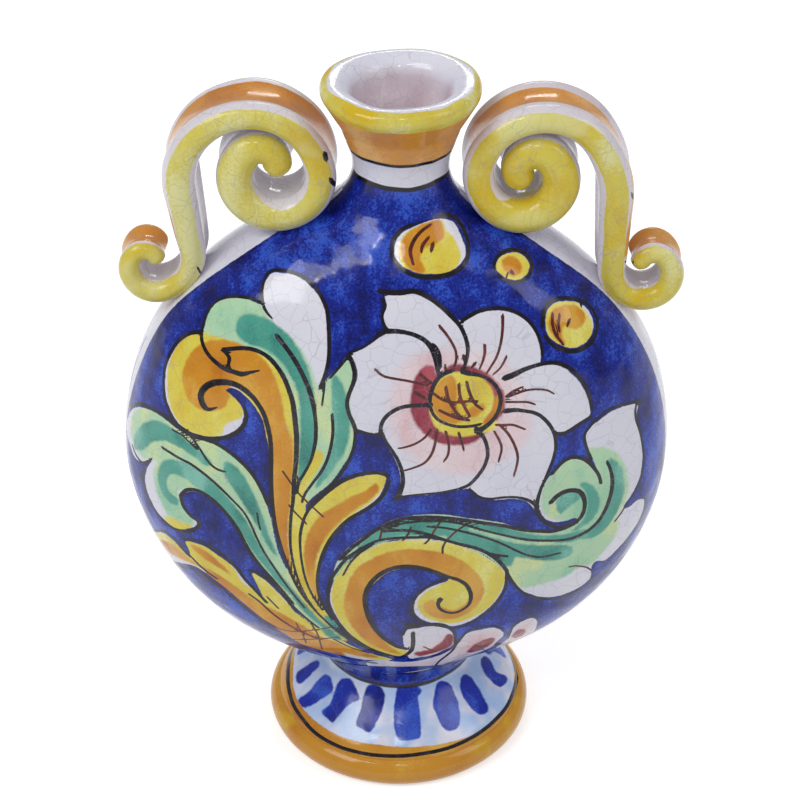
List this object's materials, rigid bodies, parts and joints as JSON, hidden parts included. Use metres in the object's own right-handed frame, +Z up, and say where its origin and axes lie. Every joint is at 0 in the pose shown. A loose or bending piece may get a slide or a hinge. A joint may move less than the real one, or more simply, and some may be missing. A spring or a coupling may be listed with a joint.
{
  "type": "pilgrim flask",
  "caption": "Flat round-bodied ceramic flask on a splayed foot, with a short neck, a rolled lip and a strap handle on each shoulder that rolls into scrolls.",
  "frame": {"origin": "centre of the circle that the foot stands on, in the plane of the table", "axes": "+Z up through the neck, -Y towards the painted front, +X to the right as seen from the front; the seam of the body lies in y = 0"},
  "size_m": [0.1457, 0.075, 0.2],
  "materials": {
    "cobalt_front": "glossy",
    "white_glaze": "glossy",
    "yellow_glaze": "glossy",
    "orange_glaze": "glossy",
    "bare_clay": "matte"
  },
  "bodies": {
    "root": {"front_shell": "cobalt_front", "back_shell": "white_glaze", "inner_seam_coil": "bare_clay", "neck_tube": "white_glaze", "neck_luting": "cobalt_front", "lip_roll": "yellow_glaze", "foot_cone": "white_glaze", "foot_ring": "orange_glaze", "foot_luting": "cobalt_front", "left_handle": "yellow_glaze", "right_handle": "yellow_glaze", "left_scroll_luting": "white_glaze", "right_scroll_luting": "white_glaze", "left_leg_luting": "white_glaze", "right_leg_luting": "white_glaze"}
  },
  "joints": []
}
